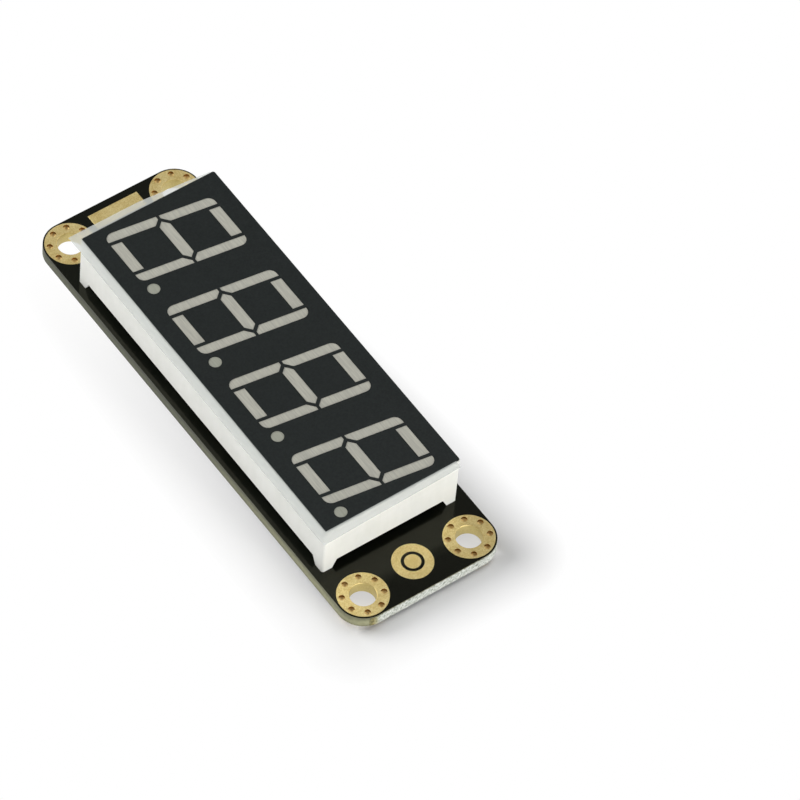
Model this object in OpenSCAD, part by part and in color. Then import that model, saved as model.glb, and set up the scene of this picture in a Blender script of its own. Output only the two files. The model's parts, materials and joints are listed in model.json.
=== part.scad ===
// Four-digit seven segment display module: a display housing with slanted digits, soldered to a
// narrow circuit board that has a plated ring round each mounting hole and a cable socket below.
// The board lies flat. +Z is up, towards the face of the display. +Y runs along the board towards
// the end with the gold bar, and +X points to the tops of the digits. The origin is at the centre
// of the four mounting holes, on the underside of the board.

/* [Mounting holes] */
// Distance between the holes across the board
hole_pitch_x = 15; // [14.5:0.1:18]
// Distance between the holes along the board
hole_pitch_y = 60.4; // [59.5:0.1:70]
// Finished diameter of each mounting hole
hole_d = 3.2; // [2.6:0.1:3.4]
// Outer diameter of the plated ring round each hole
ring_d = 6.2; // [5.8:0.1:6.4]
// Number of vias round each hole
via_count = 8; // [4:1:10]
// Diameter of each via
via_d = 0.75; // [0.4:0.05:0.8]
// Distance of the vias' centres from the outer edge of the ring
via_inset = 0.6; // [0.5:0.05:0.75]
// Depth of the plug in a via below the face of its ring
plug_recess = 0.3; // [0.1:0.05:0.4]
// Depth of the hollow in the end of a plug
plug_dish = 0.1; // [0.02:0.02:0.2]

/* [Circuit board] */
// Distance from each mounting hole's centre to the two nearest edges of the board
edge_margin = 3.3; // [3.3:0.1:5]
// Thickness of the board
board_t = 1.6; // [1:0.1:2.4]
// Thickness of the copper pads
copper_t = 0.05; // [0.03:0.01:0.08]
// Wall of the plating inside holes and vias
plating_t = 0.06; // [0.04:0.01:0.08]
// Length of the gold bar across the far end
bar_l = 7; // [4:0.1:8]
// Width of the gold bar
bar_w = 2.2; // [1:0.1:3]
// Distance of the gold bar from the far edge of the board
bar_inset = 1; // [0.5:0.1:1.5]
// Outer diameter of the gold target mark at the near end
mark_d = 5; // [3:0.1:6]
// Diameter of the dot inside the target mark
mark_dot_d = 2; // [1:0.1:2.4]
// Width of the dark groove between the dot and its ring
mark_groove_w = 0.4; // [0.2:0.05:0.6]
// Distance of the target mark's centre from the near edge of the board
mark_inset = 4; // [3.5:0.1:4.5]

/* [Digits] */
// Number of digits
digit_count = 4; // [2:1:4]
// Distance between the centres of neighbouring digits
digit_pitch = 12.7; // [12:0.05:12.9]
// Height of a digit
digit_h = 14.12; // [12.5:0.01:15]
// Width of a digit across its upright strokes
digit_w = 8.14; // [7.6:0.01:8.4]
// Lean of the digits to the right, in degrees
slant = 8.1; // [0:0.1:10]
// Width of the upright strokes
stroke_w = 1.3; // [1:0.01:1.5]
// Width of the top and bottom strokes
bar_stroke_w = 1.41; // [1:0.01:1.6]
// Gap between neighbouring segments
segment_gap = 0.43; // [0.3:0.01:0.6]
// Gap between the upper and lower upright strokes
middle_gap = 0.36; // [0.2:0.01:0.6]
// Flat width left on the middle end of an upright stroke
middle_flat_w = 0.5; // [0.2:0.01:0.8]
// Radius of the outer corners of a digit
digit_corner_r = 1; // [0.4:0.05:1.2]
// Diameter of the decimal points
dot_d = 1.55; // [1:0.05:1.7]
// Distance of a decimal point's centre from its digit's centre, along the row
dot_x = 4.63; // [4.5:0.01:4.8]
// Height of a decimal point's centre above the foot of its digit
dot_rise = 0.69; // [0.5:0.01:1.2]

/* [Display housing] */
// Distance from the centre of an end digit to the end of the housing
end_margin = 6.1; // [6:0.05:7]
// Distance from the digits to the long sides of the housing
side_margin = 2.44; // [2.2:0.01:3]
// Height of the display from its feet to its face
display_h = 8; // [7:0.1:10]
// Height of the feet
foot_h = 1.3; // [0.8:0.1:1.6]
// Width of a foot where it stands on the board
foot_w = 1.4; // [1:0.1:2]
// Width that a foot gains up to its root
foot_flare = 0.6; // [0:0.1:1]
// Wall of the skirt round the open back
skirt_t = 1; // [0.8:0.05:1.1]
// Radius of the housing's upright corners
housing_corner_r = 0.3; // [0.1:0.05:0.6]
// Size of a light well at its bottom, as a share of its window
well_taper = 0.6; // [0.5:0.05:0.9]
// Thickness of the black face
face_t = 0.1; // [0.05:0.01:0.2]
// Rim of the housing left bare round the black face
face_rim = 0.05; // [0.02:0.01:0.3]
// Depth of the segment filling below the surface of the black face
fill_recess = 0.05; // [0.01:0.01:0.05]
// Shift of the display across the board
display_shift_x = -0.2; // [-0.4:0.05:0.4]
// Thickness of the protective film
film_t = 0.08; // [0.05:0.01:0.12]
// Overhang of the film past the housing at the foot of the digits
film_side = 1.1; // [0:0.01:1.2]
// Distance of the film inside the housing's edge at the tops of the digits
film_inset = 0.6; // [0.1:0.05:1]
// Overhang of the film at the far end
film_far = 0.85; // [0:0.01:1.2]
// Overhang of the film at the near end
film_near = 1.25; // [0:0.01:1.4]
// Overhang that the near end loses towards the tops of the digits
film_near_loss = 0.4; // [0:0.05:0.6]
// Overhang that the far end loses towards the tops of the digits
film_far_loss = 0.8; // [0:0.05:0.9]
// Length of the far end that is cut straight, before the slanting cut
film_far_straight = 10; // [6:0.5:14]

/* [Inside the display] */
// Depth of the potting below the edge of the skirt
potting_recess = 0.3; // [0:0.05:0.4]
// Thickness of the potting behind the substrate
potting_t = 0.4; // [0.3:0.05:0.8]
// Thickness of the LED substrate
substrate_t = 0.8; // [0.6:0.05:1]
// Gap between the substrate and the skirt
substrate_gap = 0.25; // [0.15:0.05:0.4]
// Width of an LED die
die_w = 0.3; // [0.2:0.05:0.4]
// Height of an LED die
die_h = 0.15; // [0.1:0.05:0.25]

/* [Display pins] */
// Number of pins in each row
pins_per_row = 6; // [4:1:7]
// Distance between neighbouring pins
pin_pitch = 2.54; // [2.4:0.01:2.6]
// Distance of each row from the long side of the housing
pin_side = 1.88; // [1.7:0.01:2.1]
// Diameter of a pin
pin_d = 0.5; // [0.4:0.05:0.6]
// Length of the pins below the board
pin_tail = 1.5; // [1.3:0.1:2.5]
// Clearance round a pin in its plated hole, filled by solder
pin_clearance = 0.2; // [0.1:0.05:0.3]
// Width of the pad round a pin's hole
pad_rim = 0.4; // [0.3:0.05:0.5]
// Height of the solder on a pin
solder_h = 1.1; // [0.6:0.1:1.2]
// Thickness of the solder at its top, round the pin
solder_neck = 0.06; // [0.03:0.01:0.1]

/* [Cable socket] */
// Number of contacts
ways = 4; // [2:1:5]
// Distance between neighbouring contacts
way_pitch = 2; // [1.8:0.05:2.5]
// Distance from an end contact to the side of the socket
socket_end = 2.95; // [2.6:0.05:3.2]
// Depth of the socket from its mouth to its back
socket_depth = 7.6; // [6.5:0.1:8]
// Height of the socket below the board
socket_h = 5.5; // [5:0.1:6]
// Wall of the socket beside the board and away from it
socket_wall = 0.8; // [0.6:0.05:1]
// Wall of the socket at its sides
socket_side_wall = 1; // [0.7:0.05:1.2]
// Wall at the back of the socket
socket_back_wall = 1.3; // [1:0.1:2]
// Gap between the mouth of the socket and the plated rings
socket_setback = 0.4; // [0.2:0.1:1]
// Width of the slope round the inside of the mouth
socket_lead = 0.3; // [0.1:0.05:0.4]
// Width of the two keying slots
key_slot_w = 0.9; // [0.6:0.1:1.2]
// Length of the two keying slots
key_slot_l = 4; // [2:0.1:5]
// Thickness of the square contacts
contact_t = 0.5; // [0.4:0.05:0.6]
// Distance of the contacts' tips behind the mouth
contact_setback = 1.2; // [0.8:0.1:2]
// Length of the taper at the contacts' tips
contact_tip = 0.5; // [0.2:0.1:0.8]
// Length of the contacts' feet behind the socket
contact_foot = 1.6; // [1.3:0.1:2]
// Thickness of the side tabs
tab_t = 0.3; // [0.2:0.05:0.4]
// Length of the side tabs along the socket
tab_l = 3; // [2:0.1:4]
// Height of the side tabs
tab_h = 1.6; // [1:0.1:3]
// Reach of the side tabs' feet
tab_foot = 1.3; // [0.8:0.1:1.6]

/* [Driver chip] */
// Number of leads on each side of the chip
leads_per_side = 8; // [4:1:8]
// Distance between neighbouring leads
lead_pitch = 1.27; // [1:0.01:1.27]
// Length of the chip body past its end leads
chip_end = 0.5; // [0.3:0.05:0.8]
// Width of the chip body
chip_w = 3.9; // [3.5:0.1:5]
// Thickness of the chip body
chip_t = 1.4; // [1:0.1:1.6]
// Gap between the chip body and the board
chip_standoff = 0.15; // [0.1:0.05:0.3]
// Draft of the chip body's sides
chip_draft = 0.12; // [0.05:0.01:0.2]
// Reach of the leads past the chip body
lead_reach = 1.05; // [0.9:0.05:1.5]
// Width of a lead
lead_w = 0.42; // [0.3:0.02:0.5]
// Thickness of a lead
lead_t = 0.2; // [0.12:0.02:0.24]
// Length of a lead's foot
lead_foot = 0.5; // [0.4:0.05:0.7]
// Distance of the chip's centre from the holes' centre, towards the near end
chip_y = 17; // [15:0.5:20]

/* [Small parts] */
// Length of a chip resistor
resistor_l = 1.6; // [1:0.1:2]
// Width of a chip resistor
resistor_w = 0.8; // [0.5:0.05:1.25]
// Thickness of a chip resistor
resistor_t = 0.45; // [0.3:0.05:0.6]
// Length of a chip capacitor
capacitor_l = 2; // [1.6:0.1:2.4]
// Width of a chip capacitor
capacitor_w = 1.25; // [0.8:0.05:1.4]
// Thickness of a chip capacitor
capacitor_t = 0.85; // [0.6:0.05:1.25]
// Length of the plated end of a chip part
cap_l = 0.35; // [0.2:0.05:0.45]
// Thickness of the plating on the end of a chip part
cap_t = 0.04; // [0.03:0.01:0.06]
// Length of the solder outside each end of a chip part or lead
fillet_l = 0.35; // [0.2:0.05:0.5]

/* [Hidden] */

board_l = hole_pitch_y + 2 * edge_margin;
board_w = hole_pitch_x + 2 * edge_margin;
hole_r = hole_d / 2;
ring_r = ring_d / 2;
via_r = via_d / 2;
via_circle_r = ring_r - via_inset;

digit_row_l = (digit_count - 1) * digit_pitch;
display_l = digit_row_l + 2 * end_margin;
display_w = digit_h + 2 * side_margin;
half_w = digit_w / 2;
half_h = digit_h / 2;
dot_y = dot_rise - half_h;

// Heights inside the display, above its feet
potting_z = foot_h + potting_recess;
substrate_z = potting_z + potting_t;
well_z = substrate_z + substrate_t;
face_z = display_h - face_t;
fill_z = display_h - fill_recess;
pocket_l = display_l - 2 * skirt_t;
pocket_w = display_w - 2 * skirt_t;

pin_row_pitch = display_w - 2 * pin_side;
pin_r = pin_d / 2;
pin_hole_r = pin_r + pin_clearance;
pin_drill_r = pin_hole_r + plating_t;
pad_r = pin_drill_r + pad_rim;
solder_curve_steps = 6;
dish_steps = 4;
// Share of the pad's rim that the solder leaves bare
solder_bare_rim = 0.15;
// Thickness left at a contact's tip, as a share of its thickness
contact_tip_share = 0.4;

socket_w = (ways - 1) * way_pitch + 2 * socket_end;
socket_mouth_y = hole_pitch_y / 2 - ring_r - socket_setback;
socket_back_y = socket_mouth_y - socket_depth;
contact_z = socket_h / 2;

chip_l = (leads_per_side - 1) * lead_pitch + lead_w + 2 * chip_end;
chip_mid_z = chip_standoff + chip_t / 2;
chip_span = chip_w + 2 * lead_reach;
lead_shoulder = 0.3 * lead_reach;
dimple_d = 0.8;
dimple_depth = 0.08;
dimple_inset = 0.95;

// Bare rim of a pad round the part on it
pad_extra = 0.1;
part_z = copper_t;
// Shares of its height to which solder climbs each kind of end
resistor_wet = 0.7;
capacitor_wet = 0.5;
contact_wet = 0.8;
// Where the hollow of a solder wedge lies, as shares of its length and height
wedge_hollow = [0.35, 0.3];

// Places of the small parts on the underside: centre along X and Y
resistors = [[-3.6, 12.5], [-1.2, 12.5], [1.2, 12.5], [3.6, 12.5]];
capacitors = [[-3, 8.2], [3, 8.2]];

round_fn = 64;
small_fn = 24;
via_fn = 16;
corner_steps = 5;
eps = 0.01;

// Functions for outlines

function unit(v) = v / norm(v);
function lean(p) = [p[0] + tan(slant) * p[1], p[1]];

// Points of an arc of radius r that rounds the corner b between a and c
function fillet(a, b, c, r) =
    let (
        u = unit(a - b),
        v = unit(c - b),
        half = acos(u * v) / 2,
        centre = b + unit(u + v) * r / sin(half),
        from = b + u * r / tan(half) - centre,
        to = b + v * r / tan(half) - centre,
        from_angle = atan2(from[1], from[0]),
        turn = atan2(to[1], to[0]) - from_angle,
        sweep = turn > 180 ? turn - 360 : turn < -180 ? turn + 360 : turn
    )
    [for (i = [0 : corner_steps])
        let (angle = from_angle + sweep * i / corner_steps)
        centre + r * [cos(angle), sin(angle)]];

// Outline of a strip of thickness t along a path
function side_normal(a, b) = let (d = unit(b - a)) [-d[1], d[0]];
function strip_offset(path, i) =
    let (
        last = len(path) - 1,
        n0 = side_normal(path[max(i - 1, 0)], path[max(i, 1)]),
        n1 = side_normal(path[min(i, last - 1)], path[min(i + 1, last)]),
        sum = n0 + n1
    )
    2 * sum / (sum * sum);
function strip(path, t) = concat(
    [for (i = [0 : len(path) - 1]) path[i] + strip_offset(path, i) * t / 2],
    [for (i = [len(path) - 1 : -1 : 0]) path[i] - strip_offset(path, i) * t / 2]
);

// Outlines of the segments, x along the row of digits and y towards their tops

inner_w = half_w - stroke_w;
bar_end = inner_w - segment_gap;
chevron = half_w - middle_flat_w + middle_gap / 2 - segment_gap * sqrt(2);
cross_half = bar_stroke_w / 2;

function flip(points, sx, sy) = [for (p = points) [sx * p[0], sy * p[1]]];

// Upright stroke at the upper right, or flipped to one of the other three places
function upright(sx, sy) =
    let (
        p = [for (q = flip([
            [inner_w, half_h],
            [half_w, half_h],
            [half_w, middle_gap / 2],
            [half_w - middle_flat_w, middle_gap / 2],
            [inner_w, middle_gap / 2 + stroke_w - middle_flat_w]
        ], sx, sy)) lean(q)]
    )
    concat([p[0]], fillet(p[0], p[1], p[2], digit_corner_r), [p[2], p[3], p[4]]);

function end_bar(sy) = [for (q = flip([
    [-bar_end, half_h], [bar_end, half_h], [bar_end, half_h - bar_stroke_w],
    [-bar_end, half_h - bar_stroke_w]
], 1, sy)) lean(q)];

cross_bar = [for (q = [
    [chevron, 0], [chevron - cross_half, cross_half], [cross_half - chevron, cross_half],
    [-chevron, 0], [cross_half - chevron, -cross_half], [chevron - cross_half, -cross_half]
]) lean(q)];

segments = [end_bar(1), upright(1, 1), upright(1, -1), end_bar(-1), upright(-1, -1),
    upright(-1, 1), cross_bar];

function middle(points) =
    let (
        xs = [for (p = points) p[0]],
        ys = [for (p = points) p[1]]
    )
    [(min(xs) + max(xs)) / 2, (min(ys) + max(ys)) / 2];

// Placing helpers

module at_holes() {
    for (sx = [-1, 1], sy = [-1, 1])
        translate([sx * hole_pitch_x / 2, sy * hole_pitch_y / 2, 0])
            children();
}

module at_vias() {
    for (i = [0 : via_count - 1])
        rotate([0, 0, (i + 0.5) * 360 / via_count])
            translate([via_circle_r, 0, 0])
                children();
}

// The display's own frame: origin between its feet, x along the row of digits
module on_board() {
    translate([display_shift_x, 0, board_t])
        rotate([0, 0, -90])
            children();
}

// The underside of the board, with z pointing away from it
module under_board() {
    mirror([0, 0, 1])
        children();
}

module at_digits() {
    for (i = [0 : digit_count - 1])
        translate([i * digit_pitch - digit_row_l / 2, 0, 0])
            children();
}

// side is 1 for the row at the tops of the digits and -1 for the row at their feet
module at_pins(side) {
    for (i = [0 : pins_per_row - 1])
        translate([(i - (pins_per_row - 1) / 2) * pin_pitch, side * pin_row_pitch / 2, 0])
            children();
}

module rounded_rect(l, w, r) {
    square([l - 2 * r, w], center = true);
    square([l, w - 2 * r], center = true);
    for (sx = [-1, 1], sy = [-1, 1])
        translate([sx * (l / 2 - r), sy * (w / 2 - r)])
            circle(r = r, $fn = round_fn);
}

// Circuit board

module circuit_board() {
    color("#1b1e1e")
    difference() {
        linear_extrude(board_t)
            rounded_rect(board_w, board_l, edge_margin);
        at_holes() {
            translate([0, 0, -1])
                cylinder(r = hole_r + plating_t, h = board_t + 2, $fn = round_fn);
            at_vias()
                translate([0, 0, -1])
                    cylinder(r = via_r + plating_t, h = board_t + 2, $fn = via_fn);
        }
        on_board()
            for (side = [-1, 1])
                at_pins(side)
                    translate([0, 0, -board_t - 1])
                        cylinder(r = pin_drill_r, h = board_t + 2, $fn = small_fn);
    }
}

// One plated ring: a pad on each face, joined by the plating inside its holes
module plated_ring() {
    for (z = [-copper_t, board_t])
        translate([0, 0, z])
            linear_extrude(copper_t)
                difference() {
                    circle(r = ring_r, $fn = round_fn);
                    circle(r = hole_r, $fn = round_fn);
                    at_vias()
                        circle(r = via_r, $fn = via_fn);
                }
    linear_extrude(board_t) {
        difference() {
            circle(r = hole_r + plating_t, $fn = round_fn);
            circle(r = hole_r, $fn = round_fn);
        }
        at_vias()
            difference() {
                circle(r = via_r + plating_t, $fn = via_fn);
                circle(r = via_r, $fn = via_fn);
            }
    }
}

module ring_at(sx, sy) {
    color("#c9b077")
    translate([sx * hole_pitch_x / 2, sy * hole_pitch_y / 2, 0])
        plated_ring();
}

// A plug closes a via. Each end is a shallow dish below the face of the ring
module via_plug() {
    top_z = board_t + copper_t - plug_recess;
    bottom_z = plug_recess - copper_t;
    shares = [for (i = [0 : dish_steps]) i / dish_steps];
    rotate_extrude($fn = via_fn)
        polygon(concat(
            [for (s = shares) [via_r * s, top_z - plug_dish * (1 - s * s)]],
            [for (i = [dish_steps : -1 : 0])
                let (s = shares[i])
                [via_r * s, bottom_z + plug_dish * (1 - s * s)]]
        ));
}

module via_plugs() {
    color("#b08a55")
    at_holes()
        at_vias()
            via_plug();
}

module gold_bar() {
    color("#c9b077")
    translate([0, board_l / 2 - bar_inset - bar_w / 2, board_t])
        linear_extrude(copper_t)
            square([bar_l, bar_w], center = true);
}

module gold_target_mark() {
    color("#c9b077")
    translate([0, mark_inset - board_l / 2, board_t])
        linear_extrude(copper_t) {
            difference() {
                circle(d = mark_d, $fn = round_fn);
                circle(d = mark_dot_d + 2 * mark_groove_w, $fn = round_fn);
            }
            circle(d = mark_dot_d, $fn = round_fn);
        }
}

// Display

module foot_profile(l) {
    for (side = [-1, 1])
        polygon([
            [side * l / 2, 0],
            [side * (l / 2 - foot_w), 0],
            [side * (l / 2 - foot_w - foot_flare), foot_h],
            [side * l / 2, foot_h]
        ]);
}

module feet() {
    intersection() {
        rotate([90, 0, 0])
            linear_extrude(display_w, center = true)
                foot_profile(display_l);
        rotate([90, 0, 90])
            linear_extrude(display_l, center = true)
                foot_profile(display_w);
        linear_extrude(foot_h)
            rounded_rect(display_l, display_w, housing_corner_r);
    }
}

// A light well narrows from its window in the face down to its LED
module light_well(outline) {
    centre = middle(outline);
    translate([centre[0], centre[1], well_z])
        linear_extrude(face_z - well_z, scale = 1 / well_taper)
            polygon([for (p = outline) well_taper * (p - centre)]);
}

module light_wells() {
    at_digits() {
        for (outline = segments)
            light_well(outline);
        translate([dot_x, dot_y, well_z])
            cylinder(d1 = dot_d * well_taper, d2 = dot_d, h = face_z - well_z, $fn = small_fn);
    }
}

module windows() {
    at_digits() {
        for (outline = segments)
            polygon(outline);
        translate([dot_x, dot_y])
            circle(d = dot_d, $fn = small_fn);
    }
}

module dice() {
    at_digits() {
        for (outline = segments) {
            centre = middle(outline);
            translate([centre[0] - die_w / 2, centre[1] - die_w / 2, well_z])
                cube([die_w, die_w, die_h]);
        }
        translate([dot_x - die_w / 2, dot_y - die_w / 2, well_z])
            cube([die_w, die_w, die_h]);
    }
}

module display_housing() {
    color("#e8e9e4")
    on_board() {
        difference() {
            translate([0, 0, foot_h])
                linear_extrude(face_z - foot_h)
                    rounded_rect(display_l, display_w, housing_corner_r);
            translate([-pocket_l / 2, -pocket_w / 2, foot_h - 1])
                cube([pocket_l, pocket_w, well_z - foot_h + 1]);
            light_wells();
        }
        difference() {
            feet();
            translate([-pocket_l / 2, -pocket_w / 2, -1])
                cube([pocket_l, pocket_w, foot_h + 2]);
        }
    }
}

module black_face() {
    color("#1e2322")
    on_board()
        translate([0, 0, face_z])
            linear_extrude(face_t)
                difference() {
                    rounded_rect(display_l - 2 * face_rim, display_w - 2 * face_rim,
                        housing_corner_r);
                    windows();
                }
}

module segment_fill() {
    color("#bdbdb2")
    on_board() {
        difference() {
            light_wells();
            dice();
        }
        translate([0, 0, face_z])
            linear_extrude(fill_z - face_z)
                windows();
    }
}

module led_substrate() {
    color("#e0e2da")
    on_board()
        difference() {
            translate([0, 0, substrate_z])
                linear_extrude(substrate_t)
                    square([pocket_l - 2 * substrate_gap, pocket_w - 2 * substrate_gap],
                        center = true);
            for (side = [-1, 1])
                at_pins(side)
                    cylinder(r = pin_r, h = well_z + 1, $fn = small_fn);
        }
}

module led_dice() {
    color("#d8b24a")
    on_board()
        dice();
}

module back_potting() {
    color("#d9dcd2")
    on_board()
        difference() {
            translate([0, 0, potting_z])
                linear_extrude(well_z - potting_z)
                    square([pocket_l, pocket_w], center = true);
            translate([0, 0, substrate_z])
                linear_extrude(substrate_t + 1)
                    square([pocket_l - 2 * substrate_gap, pocket_w - 2 * substrate_gap],
                        center = true);
            for (side = [-1, 1])
                at_pins(side)
                    cylinder(r = pin_r, h = well_z + 1, $fn = small_fn);
        }
}

module pin_row(side) {
    color("#c7c9cc")
    on_board()
        at_pins(side)
            translate([0, 0, -board_t - pin_tail])
                cylinder(r = pin_r, h = board_t + pin_tail + well_z, $fn = small_fn);
}

// Film cut by hand, a little out of square, with a slanting cut across the far end
module protective_film() {
    far = display_l / 2 + film_far;
    near = display_l / 2 + film_near;
    foot_side = -display_w / 2 - film_side;
    top_side = display_w / 2 - film_inset;
    color("#dfe3e4", 0.35)
    on_board()
        translate([0, 0, display_h])
            linear_extrude(film_t)
                polygon([
                    [-far, foot_side],
                    [near, foot_side],
                    [near - film_near_loss, top_side],
                    [-far + film_far_loss, top_side],
                    [-far, foot_side + film_far_straight]
                ]);
}

// Pin holes

module pin_pad_row(side) {
    color("#c9b077")
    on_board()
        at_pins(side)
            translate([0, 0, -board_t]) {
                for (z = [-copper_t, board_t])
                    translate([0, 0, z])
                        linear_extrude(copper_t)
                            difference() {
                                circle(r = pad_r, $fn = small_fn);
                                circle(r = pin_hole_r, $fn = small_fn);
                            }
                linear_extrude(board_t)
                    difference() {
                        circle(r = pin_drill_r, $fn = small_fn);
                        circle(r = pin_hole_r, $fn = small_fn);
                    }
            }
}

// Solder fills the plated hole and rises in a hollow curve from the pad to the pin
module solder_joint() {
    foot_r = pad_r - pad_rim * solder_bare_rim;
    neck_r = pin_r + solder_neck;
    rotate_extrude($fn = small_fn)
        polygon(concat(
            [[pin_r, -board_t], [pin_hole_r, -board_t], [pin_hole_r, copper_t]],
            [for (i = [0 : solder_curve_steps])
                let (angle = 90 * i / solder_curve_steps)
                [foot_r - (foot_r - neck_r) * sin(angle),
                    copper_t + solder_h * (1 - cos(angle))]],
            [[pin_r, copper_t + solder_h]]
        ));
}

module pin_solder_row(side) {
    color("#b9bcbe")
    under_board()
        translate([display_shift_x, 0, 0])
            rotate([0, 0, -90])
                at_pins(side)
                    solder_joint();
}

// Cable socket, on the underside with its mouth towards the far end

module at_ways() {
    for (i = [0 : ways - 1])
        translate([(i - (ways - 1) / 2) * way_pitch, 0, 0])
            children();
}

// A strip in the plane of Y and Z, of width w across X
module strip_yz(path, t, w) {
    rotate([90, 0, 90])
        linear_extrude(w, center = true)
            polygon(strip(path, t));
}

// Outline of the sloping mouth: half_inside wide within, wider by the slope at the mouth
function lead_outline(half_inside) = [
    [socket_mouth_y - socket_lead, -half_inside],
    [socket_mouth_y - socket_lead, half_inside],
    [socket_mouth_y + socket_lead, half_inside + 2 * socket_lead],
    [socket_mouth_y + socket_lead, -half_inside - 2 * socket_lead]
];

module socket_mouth_slope() {
    intersection() {
        mirror([1, -1, 0])
            linear_extrude(socket_h)
                polygon(lead_outline(socket_w / 2 - socket_side_wall));
        translate([0, 0, socket_h / 2])
            rotate([90, 0, 90])
                linear_extrude(socket_w + 2, center = true)
                    polygon(lead_outline(socket_h / 2 - socket_wall));
    }
}

module socket_housing() {
    color("#e9e6dc")
    under_board()
        difference() {
            translate([-socket_w / 2, socket_back_y, 0])
                cube([socket_w, socket_depth, socket_h]);
            socket_mouth_slope();
            translate([socket_side_wall - socket_w / 2, socket_back_y + socket_back_wall, socket_wall])
                cube([socket_w - 2 * socket_side_wall, socket_depth, socket_h - 2 * socket_wall]);
            for (side = [-1, 1])
                translate([side * way_pitch * (ways - 1) / 2 - key_slot_w / 2,
                        socket_mouth_y - key_slot_l, socket_h - socket_wall - eps])
                    cube([key_slot_w, key_slot_l + 1, socket_wall + 1]);
            at_ways()
                translate([-contact_t / 2, socket_back_y - 1, contact_z - contact_t / 2])
                    cube([contact_t, socket_back_wall + 2, contact_t]);
        }
}

module socket_contacts() {
    foot_z = part_z + contact_t / 2;
    bend_y = socket_back_y - contact_t / 2;
    tip_y = socket_mouth_y - contact_setback;
    half = contact_t / 2;
    color("#c8c4b4")
    under_board()
        at_ways() {
            strip_yz([
                [tip_y - contact_tip, contact_z],
                [bend_y, contact_z],
                [bend_y, foot_z],
                [socket_back_y - contact_foot, foot_z]
            ], contact_t, contact_t);
            rotate([90, 0, 90])
                linear_extrude(contact_t, center = true)
                    polygon([
                        [tip_y - contact_tip, contact_z - half],
                        [tip_y - contact_tip, contact_z + half],
                        [tip_y, contact_z + half * contact_tip_share],
                        [tip_y, contact_z - half * contact_tip_share]
                    ]);
        }
}

module socket_tabs() {
    color("#c7c9cc")
    under_board()
        for (side = [-1, 1])
            translate([0, socket_back_y + socket_depth / 2, 0])
                rotate([90, 0, 0])
                    linear_extrude(tab_l, center = true)
                        polygon(strip([
                            [side * (socket_w / 2 + tab_t / 2), tab_h],
                            [side * (socket_w / 2 + tab_t / 2), part_z + tab_t / 2],
                            [side * (socket_w / 2 + tab_foot), part_z + tab_t / 2]
                        ], tab_t));
}

// Driver chip, on the underside

module chip_profile(w) {
    z0 = chip_standoff;
    z1 = chip_mid_z - lead_t / 2;
    z2 = chip_mid_z + lead_t / 2;
    z3 = chip_standoff + chip_t;
    polygon([
        [chip_draft - w / 2, z0], [w / 2 - chip_draft, z0], [w / 2, z1], [w / 2, z2],
        [w / 2 - chip_draft, z3], [chip_draft - w / 2, z3], [-w / 2, z2], [-w / 2, z1]
    ]);
}

module chip_body() {
    color("#26282a")
    under_board()
        translate([0, -chip_y, 0])
            difference() {
                intersection() {
                    rotate([90, 0, 0])
                        linear_extrude(chip_l, center = true)
                            chip_profile(chip_w);
                    rotate([90, 0, 90])
                        linear_extrude(chip_w, center = true)
                            chip_profile(chip_l);
                }
                translate([chip_w / 2 - dimple_inset, chip_l / 2 - dimple_inset,
                        chip_standoff + chip_t - dimple_depth])
                    cylinder(d = dimple_d, h = 1, $fn = small_fn);
            }
}

module at_leads() {
    for (i = [0 : leads_per_side - 1])
        translate([0, (i - (leads_per_side - 1) / 2) * lead_pitch - chip_y, 0])
            children();
}

module chip_leads() {
    foot_z = part_z + lead_t / 2;
    color("#c7c9cc")
    under_board()
        at_leads()
            for (side = [-1, 1])
                rotate([90, 0, 0])
                    linear_extrude(lead_w, center = true)
                        polygon(strip([
                            [side * chip_w / 2, chip_mid_z],
                            [side * (chip_w / 2 + lead_shoulder), chip_mid_z],
                            [side * (chip_span / 2 - lead_foot), foot_z],
                            [side * chip_span / 2, foot_z]
                        ], lead_t));
}

// Small parts, on the underside: each lies along Y with a plated cap on each end

module at_places(places) {
    for (p = places)
        translate([p[0], p[1], part_z])
            children();
}

module small_body(l, w, t) {
    translate([-w / 2, cap_t - l / 2, cap_t])
        cube([w, l - 2 * cap_t, t - 2 * cap_t]);
}

module small_caps(l, w, t) {
    difference() {
        for (side = [-1, 1])
            translate([-w / 2, side * (l - cap_l) / 2 - cap_l / 2, 0])
                cube([w, cap_l, t]);
        translate([-w / 2 - 1, cap_t - l / 2, cap_t])
            cube([w + 2, l - 2 * cap_t, t - 2 * cap_t]);
    }
}

module resistor_bodies() {
    color("#2c2b2a")
    under_board()
        at_places(resistors)
            small_body(resistor_l, resistor_w, resistor_t);
}

module resistor_caps() {
    color("#c7c9cc")
    under_board()
        at_places(resistors)
            small_caps(resistor_l, resistor_w, resistor_t);
}

module capacitor_bodies() {
    color("#9a7d5c")
    under_board()
        at_places(capacitors)
            small_body(capacitor_l, capacitor_w, capacitor_t);
}

module capacitor_caps() {
    color("#c7c9cc")
    under_board()
        at_places(capacitors)
            small_caps(capacitor_l, capacitor_w, capacitor_t);
}

// Pads and solder for the small parts, the chip and the socket

// A pad from y0 to y1 in the direction of side, of width w
module pad(side, y0, y1, w) {
    low = min(side * y0, side * y1);
    translate([-w / 2, low, 0])
        cube([w, y1 - y0, copper_t]);
}

module small_pads(l, w) {
    for (side = [-1, 1])
        pad(side, l / 2 - cap_l, l / 2 + fillet_l + pad_extra, w + 2 * pad_extra);
}

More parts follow.
